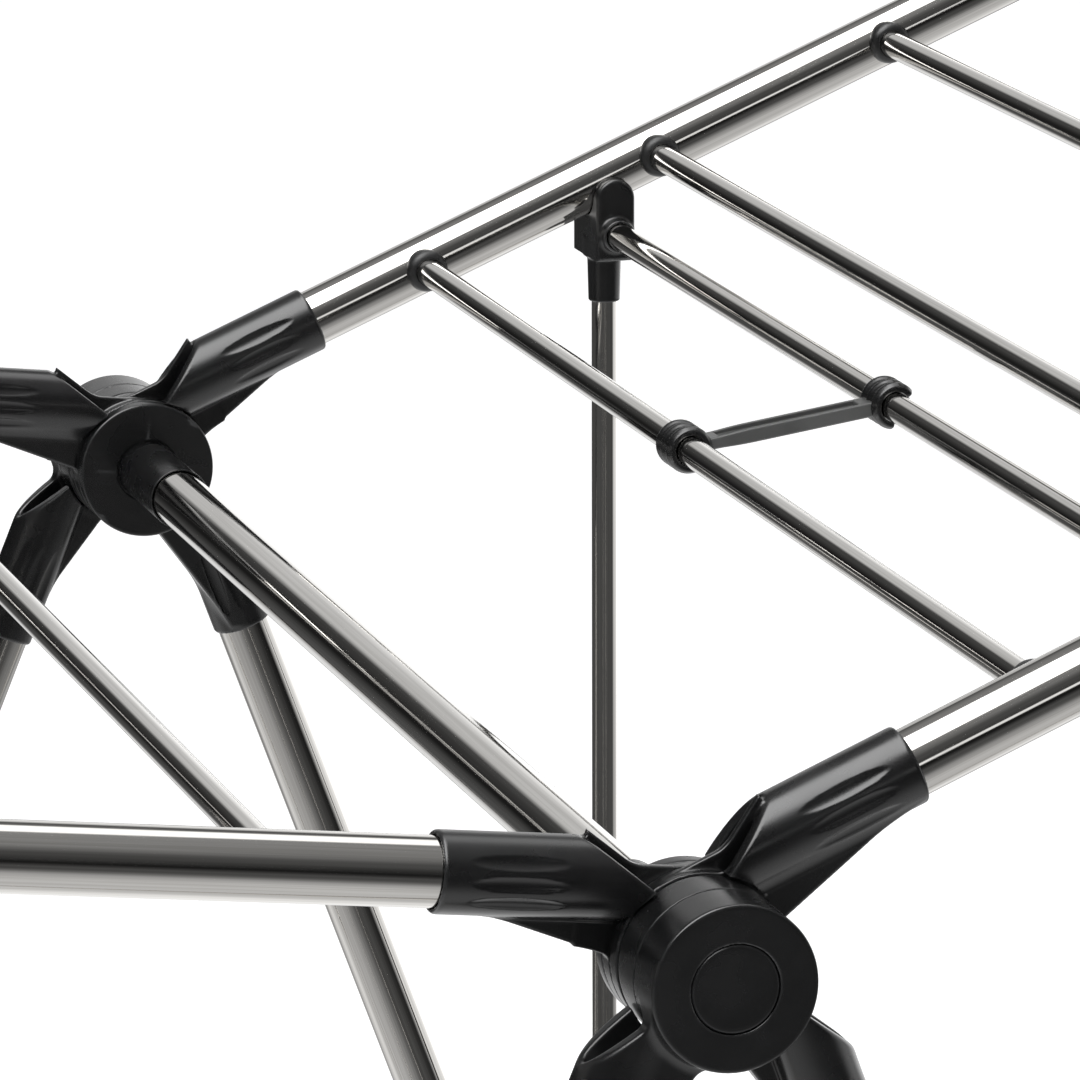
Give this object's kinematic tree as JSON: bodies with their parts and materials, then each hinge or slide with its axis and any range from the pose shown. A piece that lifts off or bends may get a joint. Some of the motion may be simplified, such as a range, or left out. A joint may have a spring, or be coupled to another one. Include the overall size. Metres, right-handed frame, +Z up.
{
  "type": "clothes drying rack",
  "caption": "Folding gull-wing clothes drying rack: polished tubes and rods on black plastic hubs, with crossed legs and two hinged wings.",
  "frame": {"origin": "on the floor under the middle of the rack's overall box", "axes": "+Z up, Y along the hub axis from the near hub to the far hub, +X towards the higher (right) wing"},
  "size_m": [1.1367, 0.698, 1.2397],
  "materials": {
    "polished_steel": "polished stainless tube, mirror-like with soft grey streaks",
    "black_plastic": "satin moulded black plastic",
    "graphite_plastic": "dark graphite-grey moulded plastic",
    "foot_rubber": "matt black foot cap"
  },
  "bodies": {
    "root": {"centre_tube": "polished_steel", "foot_right_far": "foot_rubber", "foot_right_near": "foot_rubber", "hub_core_far": "black_plastic", "hub_core_near": "black_plastic", "hub_plug_far": "black_plastic", "hub_plug_near": "black_plastic", "leg_arm_right_far": "black_plastic", "leg_arm_right_near": "black_plastic", "leg_right_far": "polished_steel", "leg_right_near": "polished_steel", "lower_bar_right": "polished_steel", "support_pin_right_far": "polished_steel", "support_pin_right_near": "polished_steel"},
    "left_support": {"crossbar_left": "polished_steel", "fork_left_far": "black_plastic", "fork_left_near": "black_plastic", "strut_left_far": "polished_steel", "strut_left_near": "polished_steel"},
    "right_support": {"crossbar_right": "polished_steel", "fork_right_far": "black_plastic", "fork_right_near": "black_plastic", "strut_right_far": "polished_steel", "strut_right_near": "polished_steel"},
    "left_wing": {"elbow_left_far": "black_plastic", "elbow_left_near": "black_plastic", "end_bar_left": "polished_steel", "rod_left_1": "polished_steel", "rod_left_2": "polished_steel", "rod_left_3": "polished_steel", "rod_left_4": "polished_steel", "rod_left_5": "polished_steel", "wing_arm_left_far": "black_plastic", "wing_arm_left_near": "black_plastic", "wing_rail_left_far": "polished_steel", "wing_rail_left_near": "polished_steel"},
    "right_wing": {"elbow_right_far": "black_plastic", "elbow_right_near": "black_plastic", "end_bar_right": "polished_steel", "rod_right_1": "polished_steel", "rod_right_2": "polished_steel", "rod_right_3": "polished_steel", "rod_right_4": "polished_steel", "rod_right_5": "polished_steel", "wing_arm_right_far": "black_plastic", "wing_arm_right_near": "black_plastic", "wing_rail_right_far": "polished_steel", "wing_rail_right_near": "polished_steel"},
    "left_legs": {"foot_left_far": "foot_rubber", "foot_left_near": "foot_rubber", "leg_arm_left_far": "black_plastic", "leg_arm_left_near": "black_plastic", "leg_left_far": "polished_steel", "leg_left_near": "polished_steel", "lower_bar_left": "polished_steel", "support_pin_left_far": "polished_steel", "support_pin_left_near": "polished_steel"},
    "left_link": {"link_left": "graphite_plastic"},
    "right_link": {"link_right": "graphite_plastic"}
  },
  "joints": [
    {"name": "leg_spread", "type": "hinge", "parent": "root", "child": "left_legs", "pos_m": [0.02693, 0, 0.97], "axis": [0, -1, 0], "range_deg": [0, 41]},
    {"name": "right_wing_fold", "type": "hinge", "parent": "root", "child": "right_wing", "pos_m": [0.02693, 0, 0.97], "axis": [0, 1, 0], "range_deg": [0, 89.9]},
    {"name": "left_wing_fold", "type": "hinge", "parent": "left_legs", "child": "left_wing", "pos_m": [0.02693, 0, 0.97], "axis": [0, -1, 0], "range_deg": [0, 71.7]},
    {"name": "right_support_swing", "type": "hinge", "parent": "root", "child": "right_support", "pos_m": [0.20788, 0, 0.55434], "axis": [0, 1, 0], "range_deg": [0, 158]},
    {"name": "left_support_swing", "type": "hinge", "parent": "left_legs", "child": "left_support", "pos_m": [-0.15403, 0, 0.55434], "axis": [0, -1, 0], "range_deg": [0, 133.9]},
    {"name": "right_link_turn", "type": "hinge", "parent": "right_wing", "child": "right_link", "pos_m": [0.12854, 0, 1.0368], "axis": [0, -1, 0], "range_deg": [0, 14.8]},
    {"name": "left_link_turn", "type": "hinge", "parent": "left_wing", "child": "left_link", "pos_m": [-0.27654, 0, 1.02046], "axis": [0, 1, 0], "range_deg": [0, 14.8]}
  ],
  "couplings": [
    {"joint": "right_support_swing", "follows": "right_wing_fold", "ratio": 1.7575},
    {"joint": "right_link_turn", "follows": "right_wing_fold", "ratio": 0.1646},
    {"joint": "left_support_swing", "follows": "left_wing_fold", "ratio": 1.8675},
    {"joint": "left_link_turn", "follows": "left_wing_fold", "ratio": 0.2064}
  ]
}
